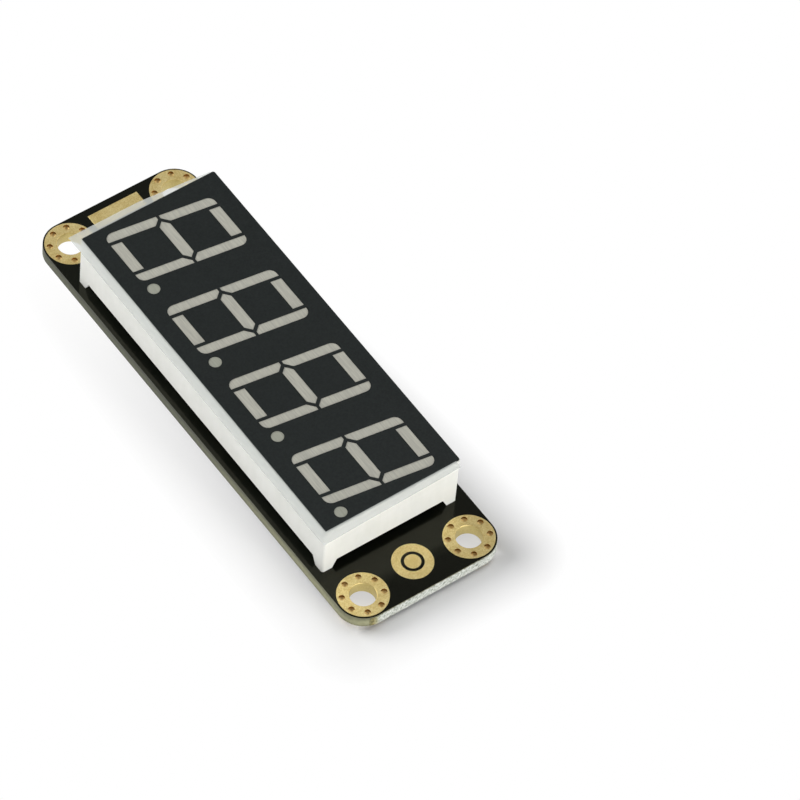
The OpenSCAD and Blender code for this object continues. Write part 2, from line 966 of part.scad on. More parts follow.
module component_pads() {
    color("#c9b077")
    under_board() {
        for (p = resistors)
            translate([p[0], p[1], 0])
                small_pads(resistor_l, resistor_w);
        for (p = capacitors)
            translate([p[0], p[1], 0])
                small_pads(capacitor_l, capacitor_w);
        at_leads()
            rotate([0, 0, -90])
                for (side = [-1, 1])
                    pad(side, chip_span / 2 - lead_foot - pad_extra,
                        chip_span / 2 + fillet_l + pad_extra, lead_w + 2 * pad_extra);
        at_ways()
            translate([0, socket_back_y, 0])
                pad(-1, contact_t / 2, contact_foot + fillet_l + pad_extra,
                    contact_t + 2 * pad_extra);
        translate([0, socket_back_y + socket_depth / 2, 0])
            rotate([0, 0, -90])
                for (side = [-1, 1])
                    pad(side, socket_w / 2, socket_w / 2 + tab_foot + fillet_l + pad_extra,
                        tab_l + 2 * pad_extra);
    }
}

// A wedge of solder that rises against the end of a lead or cap
module wedge(side, y0, w, h) {
    rotate([90, 0, 90])
        linear_extrude(w, center = true)
            polygon([
                [side * y0, copper_t],
                [side * (y0 + fillet_l), copper_t],
                [side * (y0 + fillet_l * wedge_hollow[0]), copper_t + h * wedge_hollow[1]],
                [side * y0, copper_t + h]
            ]);
}

module component_solder() {
    color("#b9bcbe")
    under_board() {
        for (p = resistors, side = [-1, 1])
            translate([p[0], p[1], 0])
                wedge(side, resistor_l / 2, resistor_w, resistor_t * resistor_wet);
        for (p = capacitors, side = [-1, 1])
            translate([p[0], p[1], 0])
                wedge(side, capacitor_l / 2, capacitor_w, capacitor_t * capacitor_wet);
        at_leads()
            rotate([0, 0, -90])
                for (side = [-1, 1])
                    wedge(side, chip_span / 2, lead_w, lead_t);
        at_ways()
            translate([0, socket_back_y, 0])
                wedge(-1, contact_foot, contact_t, contact_t * contact_wet);
        translate([0, socket_back_y + socket_depth / 2, 0])
            rotate([0, 0, -90])
                for (side = [-1, 1])
                    wedge(side, socket_w / 2 + tab_foot, tab_l, tab_t);
    }
}

circuit_board();
ring_at(-1, 1);  // ring_far_left
ring_at(1, 1);  // ring_far_right
ring_at(-1, -1);  // ring_near_left
ring_at(1, -1);  // ring_near_right
via_plugs();
gold_bar();
gold_target_mark();
display_housing();
black_face();
segment_fill();
protective_film();
led_substrate();
led_dice();
back_potting();
pin_row(-1);  // pins_left
pin_row(1);  // pins_right
pin_pad_row(-1);  // pin_pads_left
pin_pad_row(1);  // pin_pads_right
pin_solder_row(-1);  // pin_solder_left
pin_solder_row(1);  // pin_solder_right
socket_housing();
socket_contacts();
socket_tabs();
chip_body();
chip_leads();
resistor_bodies();
resistor_caps();
capacitor_bodies();
capacitor_caps();
component_pads();
component_solder();
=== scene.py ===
"""Looks of a four-digit seven segment display module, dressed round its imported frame.

The display housing stands on a narrow circuit board with a plated ring round each mounting hole.
Lengths are metres in the part's own frame, and MM turns millimetres to metres. Arguments that end
in _mm hold millimetres, and so do the lengths in the tables.
"""
import json
import math

import bmesh
import bpy
from mathutils import Matrix, Vector, noise


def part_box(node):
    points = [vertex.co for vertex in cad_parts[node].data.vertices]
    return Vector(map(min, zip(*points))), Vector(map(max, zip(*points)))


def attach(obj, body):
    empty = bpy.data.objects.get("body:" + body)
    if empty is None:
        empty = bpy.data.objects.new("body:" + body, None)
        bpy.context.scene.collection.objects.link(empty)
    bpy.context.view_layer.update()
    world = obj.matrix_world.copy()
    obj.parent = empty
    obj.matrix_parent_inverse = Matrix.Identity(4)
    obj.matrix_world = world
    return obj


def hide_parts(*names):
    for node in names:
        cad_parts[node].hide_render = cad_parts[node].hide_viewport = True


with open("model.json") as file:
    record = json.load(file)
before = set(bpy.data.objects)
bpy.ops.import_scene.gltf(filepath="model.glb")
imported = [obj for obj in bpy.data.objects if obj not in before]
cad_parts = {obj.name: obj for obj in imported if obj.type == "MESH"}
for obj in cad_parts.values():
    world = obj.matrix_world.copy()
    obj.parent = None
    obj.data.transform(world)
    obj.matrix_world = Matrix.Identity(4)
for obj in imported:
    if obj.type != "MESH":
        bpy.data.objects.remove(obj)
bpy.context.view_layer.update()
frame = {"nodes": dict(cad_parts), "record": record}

MM = 0.001
HOLES = frame["record"]["mounts"][0]["dims"]

# Camera, fitted to the photograph
CAMERA_AZIMUTH = -39.924
CAMERA_ELEVATION = 53.351
CAMERA_ROLL = 5.748
CAMERA_TARGET = Vector((12.146, -9.821, 1.6)) * MM
CAMERA_DISTANCE = 835.39 * MM
CAMERA_LENS = 321.005
SENSOR_WIDTH = 36

# Edges and rings. An upright face and a flat face of the board are told by how far their normals rise.
WELD = 0.001 * MM
FLAT_ANGLE = math.radians(1)
SHARP_ANGLE = math.radians(32)
ROUND_PROFILE = 0.5
BOARD_ROUNDING = 0.04 * MM
BOARD_FACE_RISE = 0.3
RIM_ROUNDING = 0.1 * MM
RIM_STEPS = 4
UPRIGHT_RISE = 0.5
SMALLEST_SEGMENT = 2 * MM

# Film. Its droop and wave are shares of how far it hangs over, and its haze is that of one surface.
FILM_CELL = 1.5 * MM
FILM_GAP = 0.01 * MM
FILM_WAVE_LENGTH = 7 * MM
FILM_DROOP = 0.05
FILM_WAVE = 0.25
FILM_HAZE = 0.42
FILM_HAZE_EDGE = 0.08 * MM

# Edge of the laminate. A wave pattern of scale 1 turns through WAVE_RADIANS in a metre.
MASK_TONE = "#10120e"
# Band along the laminate's top edge that darkens towards the mask's tone: its height and how far it
# darkens
TOP_BAND_HEIGHT = 0.5 * MM
TOP_BAND_DARKENING = 0.5
CRAZED_SHARE = 0.2
WAVE_RADIANS = 20

# Torn end of the laminate. The shape of its lumps is their smoothness, and the step and number of
# their finer layers.
STAIN_LENGTH = 0.9 * MM
TORN_CELL = 0.12 * MM
TORN_DEPTH = 0.14 * MM
TORN_BACK = 0.1 * MM
TORN_LEFT = -8.7 * MM
TORN_RIGHT = 10 * MM
TORN_TOP_GAP = 0.18 * MM
TORN_TOP_RAG = 0.7
TORN_RAG_LENGTH = 0.4 * MM
TORN_LUMP_LENGTH = 0.5 * MM
TORN_LUMP_SHAPE = (0.8, 2, 4)
TORN_END_COLUMNS = 4
TORN_END_ROWS = 2

# Printed outlines
LEGEND_LINE = 0.16 * MM
LEGEND_GAP = 0.25 * MM
LEGEND_THICKNESS = 0.02 * MM
LEGEND_DOT_R = 0.3 * MM
LEGEND_DOT_AWAY = 3 * LEGEND_DOT_R
LEGEND_DOT_SIDES = 32
PAD_REACH = 2 * MM

# Stage
FLOOR_RADIUS = 115 * MM
FLOOR_SIDES = 96
FLOOR_FADE = 7 * MM
SHADE_WIDTH = 1.5 * MM
SHADE_LIFT = 0.57
SHINE_LIFT = 0.6
CARD_HEIGHT = 450 * MM
CARD_HALF = 500 * MM
CARD_LEVEL = 0.22
ROOM_LEVEL = 0.1
ROOM_SHINE = 0.3
LIGHT_DISTANCE = 500 * MM
LIGHT_WIDTH = 350 * MM

# Each soft light: azimuth and elevation in degrees, height, and what it adds to a white surface that
# faces it
LIGHTS = {
    "front_light": (0, 12, 170, 0.75),
    "back_light": (-150, 28, 350, 1.02),
    "right_light": (90, 52, 350, 0.26),
    "left_light": (-75, 15, 220, 0.04),
    "top_light": (0, 88, 350, 0.04),
    "under_light": (0, -88, 350, 0.35),
}


# Tones and nodes

def linear(tone):
    """sRGB hex to linear RGBA."""
    parts = [int(tone[i:i + 2], 16) / 255 for i in (1, 3, 5)]
    return [c / 12.92 if c <= 0.04045 else ((c + 0.055) / 1.055) ** 2.4 for c in parts] + [1]


def per_metre(size_mm):
    """Scale that gives a pattern features of this size."""
    return 1 / (size_mm * MM)


def add(tree, kind, settings=None, links=None):
    """Adds a node. Settings name its sockets or its own values, and links name what feeds a socket."""
    node = tree.nodes.new(kind)
    for key, value in (settings or {}).items():
        if key == "stops":
            ramp = node.color_ramp.elements
            while len(ramp) < len(value):
                ramp.new(1)
            for stop, (place, tone) in zip(ramp, value):
                stop.position = place
                stop.color = linear(tone)
        elif isinstance(key, int) or key in node.inputs:
            node.inputs[key].default_value = linear(value) if isinstance(value, str) else value
        else:
            setattr(node, key, value)
    for key, source in (links or {}).items():
        tree.links.new(source, node.inputs[key])
    return node


def grain(tree, place, size_mm, detail, roughness=0.5):
    """A random pattern with features of this size."""
    return add(tree, "ShaderNodeTexNoise", {"Scale": per_metre(size_mm), "Detail": detail,
        "Roughness": roughness}, {"Vector": place}).outputs[0]


def blend(tree, share, first, second):
    """The first pattern with this share of the second in it."""
    return add(tree, "ShaderNodeMix", {"Factor": share}, {"A": first, "B": second}).outputs[0]


def tones(tree, pattern, stops):
    """The tones that a pattern runs through."""
    return add(tree, "ShaderNodeValToRGB", {"stops": stops}, {"Fac": pattern}).outputs[0]


def relief(tree, pattern, depth_mm):
    """Fine relief that follows a pattern."""
    return add(tree, "ShaderNodeBump", {"Distance": depth_mm * MM}, {"Height": pattern}).outputs[0]


def map_range(tree, source, start, end, low=0, high=1, curve="LINEAR"):
    """A value that goes from low to high while its source goes from start to end."""
    return add(tree, "ShaderNodeMapRange", {"From Min": start, "From Max": end, "To Min": low,
        "To Max": high, "interpolation_type": curve}, {"Value": source}).outputs[0]


def calc(tree, operation, *values, clamp=False):
    """The result of a sum. Each value is a number or the output that feeds it."""
    fed = {i: value for i, value in enumerate(values) if isinstance(value, bpy.types.NodeSocket)}
    fixed = {i: value for i, value in enumerate(values) if i not in fed}
    return add(tree, "ShaderNodeMath",
        {"operation": operation, "use_clamp": clamp, **fixed}, fed).outputs[0]


def split(tree, vector):
    """The parts of a vector, named X, Y and Z."""
    return add(tree, "ShaderNodeSeparateXYZ", links={"Vector": vector}).outputs


def past_sides(tree, place, node):
    """How far a place lies past the sides of a frame node's box, below 0 between them."""
    low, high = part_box(node)
    off = add(tree, "ShaderNodeVectorMath", {"operation": "SUBTRACT", 1: (low + high) / 2}, {0: place})
    size = add(tree, "ShaderNodeVectorMath", {"operation": "ABSOLUTE"}, {0: off.outputs[0]})
    return add(tree, "ShaderNodeVectorMath", {"operation": "SUBTRACT", 1: (high - low) / 2},
        {0: size.outputs[0]}).outputs[0]


def new_material(name):
    """A material with no nodes but its object coordinates, which are the frame's metres."""
    material = bpy.data.materials.new(name)
    material.use_nodes = True
    tree = material.node_tree
    tree.nodes.clear()
    place = add(tree, "ShaderNodeTexCoord").outputs["Object"]
    return material, tree, place


def close(tree, kind, settings=None, links=None):
    """Adds the shader that ends a material."""
    shader = add(tree, kind, settings, links)
    add(tree, "ShaderNodeOutputMaterial", links={"Surface": shader.outputs[0]})


# Finishes

def solder_mask():
    """Liquid photoimaged epoxy mask, sprayed and baked: near black, softly glossy, faint orange peel."""
    material, tree, place = new_material("solder_mask")
    peel = grain(tree, place, 0.6, 3)
    cloud = grain(tree, place, 9, 2)
    close(tree, "ShaderNodeBsdfPrincipled", {
        "Specular IOR Level": 0.3, "Specular Tint": "#fffde0"}, {
        "Base Color": tones(tree, cloud, [(0.3, "#090b08"), (0.7, MASK_TONE)]),
        "Roughness": map_range(tree, peel, 0, 1, 0.12, 0.2), "Normal": relief(tree, peel, 0.001)})
    return material


def routed_laminate():
    """Glass cloth and epoxy laminate, routed: olive, with the cloth's plies as faint bands.

    It pales towards the snapped end, where the strain has crazed it, and it darkens along the top,
    blended part way towards the mask's tone.
    """
    material, tree, place = new_material("routed_laminate")
    low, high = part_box("circuit_board")
    axes = split(tree, place)
    plies = add(tree, "ShaderNodeTexWave", {"bands_direction": "Z",
        "Scale": per_metre(0.2) / WAVE_RADIANS, "Distortion": 2, "Detail": 2, "Detail Scale": 2},
        {"Vector": place}).outputs[0]
    cloth = blend(tree, 0.7, plies, grain(tree, place, 0.45, 4, 0.7))
    sound = tones(tree, cloth, [(0.25, "#373928"), (0.75, "#545741")])
    crazed = tones(tree, cloth, [(0.25, "#747455"), (0.75, "#9c9b78")])
    strain = map_range(tree, axes["Y"], high.y * CRAZED_SHARE, low.y, curve="SMOOTHSTEP")
    bare = add(tree, "ShaderNodeMix", {"data_type": "RGBA"}, {
        "Factor": strain, "A": sound, "B": crazed})
    # The top edge darkens, blended towards the mask's tone
    top_band = map_range(tree, axes["Z"], high.z - TOP_BAND_HEIGHT, high.z, 0, TOP_BAND_DARKENING)
    tone = add(tree, "ShaderNodeMix", {"data_type": "RGBA", "B": MASK_TONE}, {
        "Factor": top_band, "A": bare.outputs["Result"]})
    close(tree, "ShaderNodeBsdfPrincipled", {"Roughness": 0.55}, {
        "Base Color": tone.outputs["Result"], "Normal": relief(tree, cloth, 0.02)})
    return material


def snapped_laminate():
    """The same laminate, broken out of its panel: torn white glass fibre, brown where the tear ends."""
    material, tree, place = new_material("snapped_laminate")
    fibre = grain(tree, place, 0.35, 5, 0.75)
    ragged = calc(tree, "MULTIPLY_ADD", fibre, STAIN_LENGTH, split(tree, place)["X"])
    along = map_range(tree, ragged, TORN_LEFT + STAIN_LENGTH / 2, TORN_LEFT + 2 * STAIN_LENGTH)
    stained = add(tree, "ShaderNodeMix", {"data_type": "RGBA", "blend_type": "MULTIPLY",
        "Factor": 1}, {
        "A": tones(tree, fibre, [(0.36, "#666b60"), (0.46, "#b4b8ae"), (0.6, "#dcded8")]),
        "B": tones(tree, along,
            [(0, "#918e68"), (0.3, "#b3a268"), (0.6, "#cfc9a4"), (1, "#ffffff")])})
    close(tree, "ShaderNodeBsdfPrincipled", {"Roughness": 0.8}, {
        "Base Color": stained.outputs["Result"], "Normal": relief(tree, fibre, 0.06)})
    return material


def immersion_gold(name, low, high):
    """Immersion gold over nickel and etched copper: pale gold, satin, with a fine speckled grain."""
    material, tree, place = new_material(name)
    speckle = grain(tree, place, 0.16, 3, 0.7)
    cloudy = blend(tree, 0.3, speckle, grain(tree, place, 1.6, 2))
    close(tree, "ShaderNodeBsdfPrincipled", {"Metallic": 1, "Roughness": 0.5}, {
        "Base Color": tones(tree, cloudy, [(0.3, low), (0.7, high)]),
        "Normal": relief(tree, speckle, 0.006)})
    return material


def moulded_housing_plastic():
    """White filled plastic, injection moulded: satin, faintly mottled, with smudges down its walls."""
    material, tree, place = new_material("moulded_housing_plastic")
    stretch = add(tree, "ShaderNodeMapping", {"Scale": (1, 1, 0.2)}, {"Vector": place})
    smudge = grain(tree, stretch.outputs[0], 0.9, 3)
    mottle = blend(tree, 0.4, grain(tree, place, 4, 3), smudge)
    close(tree, "ShaderNodeBsdfPrincipled", {"Roughness": 0.42}, {
        "Base Color": tones(tree, mottle, [(0.3, "#e7e8e1"), (0.7, "#f2f2ed")]),
        "Normal": relief(tree, smudge, 0.01)})
    return material


def diffusing_resin(name, low, high):
    """Cast epoxy full of white powder, ground flush: warm grey with fine slanting brush marks."""
    material, tree, place = new_material(name)
    turned = add(tree, "ShaderNodeMapping", {"Rotation": (0, 0, math.radians(50)),
        "Scale": (1, 0.08, 1)}, {"Vector": place})
    brush = grain(tree, turned.outputs[0], 0.16, 3)
    close(tree, "ShaderNodeBsdfPrincipled", {"Roughness": 0.5}, {
        "Base Color": tones(tree, brush, [(0.3, low), (0.7, high)]),
        "Normal": relief(tree, brush, 0.004)})
    return material


def clear_film():
    """Thin protective film, calendered: all but unseen where it is stuck down, milky where it is free."""
    material, tree, place = new_material("clear_film")
    past = split(tree, past_sides(tree, place, "black_face"))
    free = calc(tree, "MAXIMUM", past["X"], past["Y"])
    close(tree, "ShaderNodeBsdfPrincipled", {"Base Color": "#e4e8e4", "Roughness": 0.3}, {
        "Alpha": map_range(tree, free, -FILM_HAZE_EDGE, 0, 0, FILM_HAZE)})
    return material


def grained(name, size_mm, detail, stops, settings, depth_mm=0, roughness=0.5):
    """A finish with one grain, which sets its tone and its relief, if it has any."""
    material, tree, place = new_material(name)
    pattern = grain(tree, place, size_mm, detail, roughness)
    links = {"Base Color": tones(tree, pattern, stops)}
    if depth_mm:
        links["Normal"] = relief(tree, pattern, depth_mm)
    close(tree, "ShaderNodeBsdfPrincipled", settings, links)
    return material


def tinned(name, low, high, roughness, grain_mm):
    """Tin over copper alloy: silver grey and satin, with soft streaks of plating."""
    return grained(name, grain_mm, 3, [(0.3, low), (0.7, high)],
        {"Metallic": 1, "Roughness": roughness}, 0.006)


def fired_ceramic(name, low, high, roughness):
    """Fired ceramic of a chip part: fine grained, with a dull shine."""
    return grained(name, 0.2, 3, [(0.3, low), (0.7, high)], {"Roughness": roughness}, 0.004)


mask = solder_mask()
laminate = routed_laminate()
torn_laminate = snapped_laminate()
gold = immersion_gold("gold_plating", "#d3b66a", "#ffefb3")
# Paler gold on the hole walls is painted light; darker gold on the via walls is painted shade, the dark
# crescent of each pit
hole_gold_painted_light = immersion_gold("gold_in_holes_painted_light", "#cab878", "#e4d598")
via_gold_painted_shade = immersion_gold("gold_in_vias_painted_shade", "#aa8242", "#caa05a")
# Warmer, lifted gold on the via plugs is painted light that brightens the floors of the via pits
plug_gold_painted_light = immersion_gold("gold_on_via_plugs_painted_light", "#e0bd74", "#f4da9c")
housing_plastic = moulded_housing_plastic()
resin = diffusing_resin("diffusing_resin", "#abaaa0", "#c1c0b3")
dot_resin = diffusing_resin("diffusing_resin_in_dots", "#999b8e", "#a8aa9c")
film = clear_film()
tin = tinned("tin_plate", "#b9bbbd", "#d2d4d6", 0.35, 0.8)
solder = tinned("solder", "#a9acae", "#c6c9cb", 0.28, 0.5)
brass = tinned("tinned_brass", "#c0bba8", "#d6d2c2", 0.3, 0.6)
resistor = fired_ceramic("resistor_glaze", "#222120", "#33312f", 0.3)
capacitor = fired_ceramic("capacitor_ceramic", "#8a6d4d", "#a5886a", 0.45)

# Black ink, screen printed and cured on the housing's face: even, matt, with a fine grain
ink = grained("face_ink", 0.25, 3, [(0.35, "#141919"), (0.65, "#1b2120")],
    {"Roughness": 0.45, "Specular IOR Level": 0.3}, 0.004)

# White ink, screen printed on the mask: matt, slightly uneven lines, thin enough to look grey
legend = grained("legend_ink", 0.4, 3, [(0.3, "#b9bbb7"), (0.6, "#dfe0dc")], {"Roughness": 0.6})

# Epoxy cast into the back of the display: cream white, smooth, a little cloudy
potting = grained("cast_epoxy", 3, 2, [(0.3, "#cfd0c4"), (0.7, "#dddfd5")], {"Roughness": 0.3})

# Thin laminate with white mask under the light wells: clean matt white, slight weave
substrate = grained("white_laminate", 0.5, 2, [(0.3, "#d8dad3"), (0.7, "#e4e6df")],
    {"Roughness": 0.5})

# Sawn semiconductor chip: yellow grey, with glinting faces
chip_gold = grained("light_chip", 0.1, 2, [(0.3, "#b8923a"), (0.7, "#dcbd62")],
    {"Roughness": 0.25})

# Natural nylon, injection moulded: ivory and satin, with faint clouds from its flow in the mould
nylon = grained("moulded_nylon", 2.5, 3, [(0.3, "#e0dccf"), (0.7, "#ebe8dd")],
    {"Roughness": 0.45}, 0.008)

# Black epoxy moulding compound: charcoal, with the fine matt texture of a spark-eroded mould
chip_resin = grained("moulded_chip_resin", 0.12, 4, [(0.3, "#1d1f21"), (0.7, "#2e3033")],
    {"Roughness": 0.6}, 0.01, 0.7)


# Pieces

def add_object(name, data):
    thing = bpy.data.objects.new(name, data)
    bpy.context.scene.collection.objects.link(thing)
    return thing


def show(name, mesh, node, slot, materials):
    """A piece of the part. One that stands for a frame node keeps its flat faces evenly shaded."""
    piece = add_object(name, mesh)
    for material in materials:
        mesh.materials.append(material)
    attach(piece, "root")
    if node:
        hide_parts(node)
        piece.modifiers.new("even_faces", "WEIGHTED_NORMAL").keep_sharp = True


def welded(node):
    """A frame node's mesh with its faces joined and its flat triangles merged."""
    shape = bmesh.new()
    shape.from_mesh(frame["nodes"][node].data)
    bmesh.ops.remove_doubles(shape, verts=shape.verts, dist=WELD)
    bmesh.ops.dissolve_limit(shape, angle_limit=FLAT_ANGLE, verts=shape.verts, edges=shape.edges)
    return shape


def sharp_edges(shape):
    return [e for e in shape.edges if len(e.link_faces) == 2 and e.calc_face_angle() > SHARP_ANGLE]


def round_edges(shape, edges, width, steps):
    bmesh.ops.bevel(shape, geom=edges, offset=width, segments=steps, profile=ROUND_PROFILE,
        affect="EDGES", clamp_overlap=True)


def bevelled(node, width, steps=2):
    """A frame node's mesh with its sharp edges rounded."""
    shape = welded(node)
    round_edges(shape, sharp_edges(shape), width, steps)
    return shape


def as_mesh(name, shape):
    mesh = bpy.data.meshes.new(name)
    shape.to_mesh(mesh)
    shape.free()
    return mesh


def smooth_mesh(name, shape):
    """Turns a shape into a mesh, smooth apart from its sharp edges."""
    mesh = as_mesh(name, shape)
    mesh.polygons.foreach_set("use_smooth", [True] * len(mesh.polygons))
    mesh.set_sharp_from_angle(angle=SHARP_ANGLE)
    return mesh


def islands(shape):
    """Groups of joined faces."""
    left = dict.fromkeys(shape.faces)
    while left:
        group = [next(iter(left))]
        del left[group[0]]
        for face in group:
            for edge in face.edges:
                for other in edge.link_faces:
                    if other in left:
                        del left[other]
                        group.append(other)
        yield group


# Each node that is shown as it is, and its finish
SHOWN = {"black_face": ink, "led_substrate": substrate, "led_dice": chip_gold,
    "back_potting": potting}
for node, material in SHOWN.items():
    mesh = frame["nodes"][node].data
    mesh.materials.clear()
    mesh.materials.append(material)

# Each node that a rounded copy stands for: width of the rounding, finish and slot
ROUNDED = {
    # The plugs' gold is painted light, brighter at its low end than the rings' own gold
    "via_plugs": (0.01, plug_gold_painted_light, "gold_plating"),
    "gold_bar": (0.02, gold, "gold_plating"),
    "gold_target_mark": (0.02, gold, "gold_plating"),
    "pin_pads_left": (0.02, gold, "gold_plating"),
    "pin_pads_right": (0.02, gold, "gold_plating"),
    "component_pads": (0.01, gold, "gold_plating"),
    "pins_left": (0.06, tin, "tin_plate"),
    "pins_right": (0.06, tin, "tin_plate"),
    "pin_solder_left": (0.01, solder, "solder"),
    "pin_solder_right": (0.01, solder, "solder"),
    "component_solder": (0.02, solder, "solder"),
    "socket_housing": (0.1, nylon, "socket_plastic"),
    "socket_contacts": (0.06, brass, "contact_metal"),
    "socket_tabs": (0.04, tin, "tin_plate"),
    "chip_body": (0.03, chip_resin, "chip_resin"),
    "chip_leads": (0.03, tin, "tin_plate"),
    "resistor_bodies": (0.02, resistor, "resistor_ceramic"),
    "resistor_caps": (0.03, tin, "tin_plate"),
    "capacitor_bodies": (0.02, capacitor, "capacitor_ceramic"),
    "capacitor_caps": (0.03, tin, "tin_plate"),
    "display_housing": (0.12, housing_plastic, "white_plastic"),
}
for node, (width_mm, material, slot) in ROUNDED.items():
    name = node + "_rounded"
    show(name, smooth_mesh(name, bevelled(node, width_mm * MM)), node, slot, [material])


def ring_piece(node):
    """A plated ring with a softly rounded rim round its hole; painted light makes its hole walls paler,
    painted shade its via walls darker.
    """
    shape = welded(node)
    low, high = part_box(node)
    centre = (low + high) / 2
    ring_r = (high.x - low.x) / 2
    hole_r = HOLES["hole_r_mm"] * MM

    def reach(point):
        return Vector((point.x - centre.x, point.y - centre.y)).length

    rims = [edge for edge in sharp_edges(shape)
        if max(reach(v.co) for v in edge.verts) < hole_r + RIM_ROUNDING / 2]
    round_edges(shape, rims, RIM_ROUNDING, RIM_STEPS)
    # Hole walls take the paler gold as painted light, via walls the darker gold as painted shade
    for face in shape.faces:
        away = reach(face.calc_center_median())
        upright = abs(face.normal.z) < UPRIGHT_RISE
        if upright and away < hole_r + RIM_ROUNDING:
            face.material_index = 1
        elif upright and away < ring_r - RIM_ROUNDING:
            face.material_index = 2
        else:
            face.material_index = 0
    name = node + "_rounded"
    show(name, smooth_mesh(name, shape), node, "gold_plating", [gold, hole_gold_painted_light, via_gold_painted_shade])


def resin_segments():
    """The resin in the windows, a shade darker in the small wells of the points."""
    shape = welded("segment_fill")
    for group in islands(shape):
        xs = [v.co.x for face in group for v in face.verts]
        ys = [v.co.y for face in group for v in face.verts]
        small = max(max(xs) - min(xs), max(ys) - min(ys)) < SMALLEST_SEGMENT
        for face in group:
            face.material_index = 1 if small else 0
    mesh = smooth_mesh("resin_segments", shape)
    show("resin_segments", mesh, "segment_fill", "milky_resin", [resin, dot_resin])


def film_sheet():
    """The film, flat where it is stuck to the housing and a little wavy where it hangs free."""
    shape = welded("protective_film")
    low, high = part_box("protective_film")
    held_low, held_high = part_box("display_housing")
    for axis in (0, 1):
        normal = Vector((0, 0, 0))
        normal[axis] = 1
        for i in range(1, math.ceil((high[axis] - low[axis]) / FILM_CELL)):
            whole = shape.verts[:] + shape.edges[:] + shape.faces[:]
            bmesh.ops.bisect_plane(shape, geom=whole, plane_co=low + normal * FILM_CELL * i,
                plane_no=normal)
    for vert in shape.verts:
        over = 0
        for axis in (0, 1):
            over = max(over, held_low[axis] - vert.co[axis], vert.co[axis] - held_high[axis])
        if vert.co.z < (low.z + high.z) / 2:
            vert.co.z += FILM_GAP
        wave = noise.noise(Vector((vert.co.x, vert.co.y, 0)) / FILM_WAVE_LENGTH)
        vert.co.z += over * (FILM_WAVE * wave - FILM_DROOP)
    show("film_sheet", smooth_mesh("film_sheet", shape), "protective_film", "clear_film", [film])


def board_plate():
    """The board with masked faces and bare laminate edges."""
    shape = bevelled("circuit_board", BOARD_ROUNDING, 1)
    for face in shape.faces:
        face.material_index = 0 if abs(face.normal.z) > BOARD_FACE_RISE else 1
    mesh = smooth_mesh("board_plate", shape)
    show("board_plate", mesh, "circuit_board", "board", [mask, laminate])


def snapped_edge():
    """The near short edge, where the board was broken out of its panel: torn fibre, rough."""
    low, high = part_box("circuit_board")
    half = (high.x - low.x) / 2
    corner_r = half - HOLES["spacing_x_mm"] / 2 * MM
    straight = half - corner_r
    columns = round((TORN_RIGHT - TORN_LEFT) / TORN_CELL)
    rows = round((high.z - low.z) / TORN_CELL)
    shape = bmesh.new()
    front, back = [], []
    for i in range(columns + 1):
        x = TORN_LEFT + (TORN_RIGHT - TORN_LEFT) * i / columns
        into_corner = max(abs(x) - straight, 0)
        edge_y = low.y + corner_r - math.sqrt(corner_r ** 2 - into_corner ** 2)
        ragged = noise.noise(Vector((x, 0, 0)) / TORN_RAG_LENGTH)
        top = high.z - TORN_TOP_GAP * (1 + TORN_TOP_RAG * ragged)
        front.append([])
        back.append([])
        for j in range(rows + 1):
            z = low.z + (top - low.z) * j / rows
            spot = Vector((x, low.y, z))
            rough = noise.fractal(spot / TORN_LUMP_LENGTH, *TORN_LUMP_SHAPE) * 0.5 + 0.5
            from_ends = min(i, columns - i) / TORN_END_COLUMNS
            from_rims = (min(j, rows - j) + 0.5) / TORN_END_ROWS
            depth = TORN_DEPTH * min(1, from_ends, from_rims) * rough
            front[i].append(shape.verts.new((x, edge_y - depth, z)))
            back[i].append(shape.verts.new((x, edge_y + TORN_BACK, z)))
    for i in range(columns):
        for j in range(rows):
            shape.faces.new((front[i][j], front[i + 1][j], front[i + 1][j + 1], front[i][j + 1]))
            shape.faces.new((back[i][j], back[i][j + 1], back[i + 1][j + 1], back[i + 1][j]))
        shape.faces.new((front[i][0], back[i][0], back[i + 1][0], front[i + 1][0]))
        shape.faces.new((front[i][rows], front[i + 1][rows], back[i + 1][rows], back[i][rows]))
    for i, turn in ((0, 1), (columns, -1)):
        for j in range(rows):
            ring = [front[i][j], front[i][j + 1], back[i][j + 1], back[i][j]]
            shape.faces.new(ring[::turn])
    show("snapped_edge", as_mesh("snapped_edge", shape), None, "board", [torn_laminate])


def island_boxes(*nodes):
    """Lowest and highest corner of each separate solid in these nodes."""
    boxes = []
    for node in nodes:
        shape = welded(node)
        for group in islands(shape):
            spots = [v.co for face in group for v in face.verts]
            boxes.append((Vector(map(min, zip(*spots))), Vector(map(max, zip(*spots)))))
        shape.free()
    return boxes


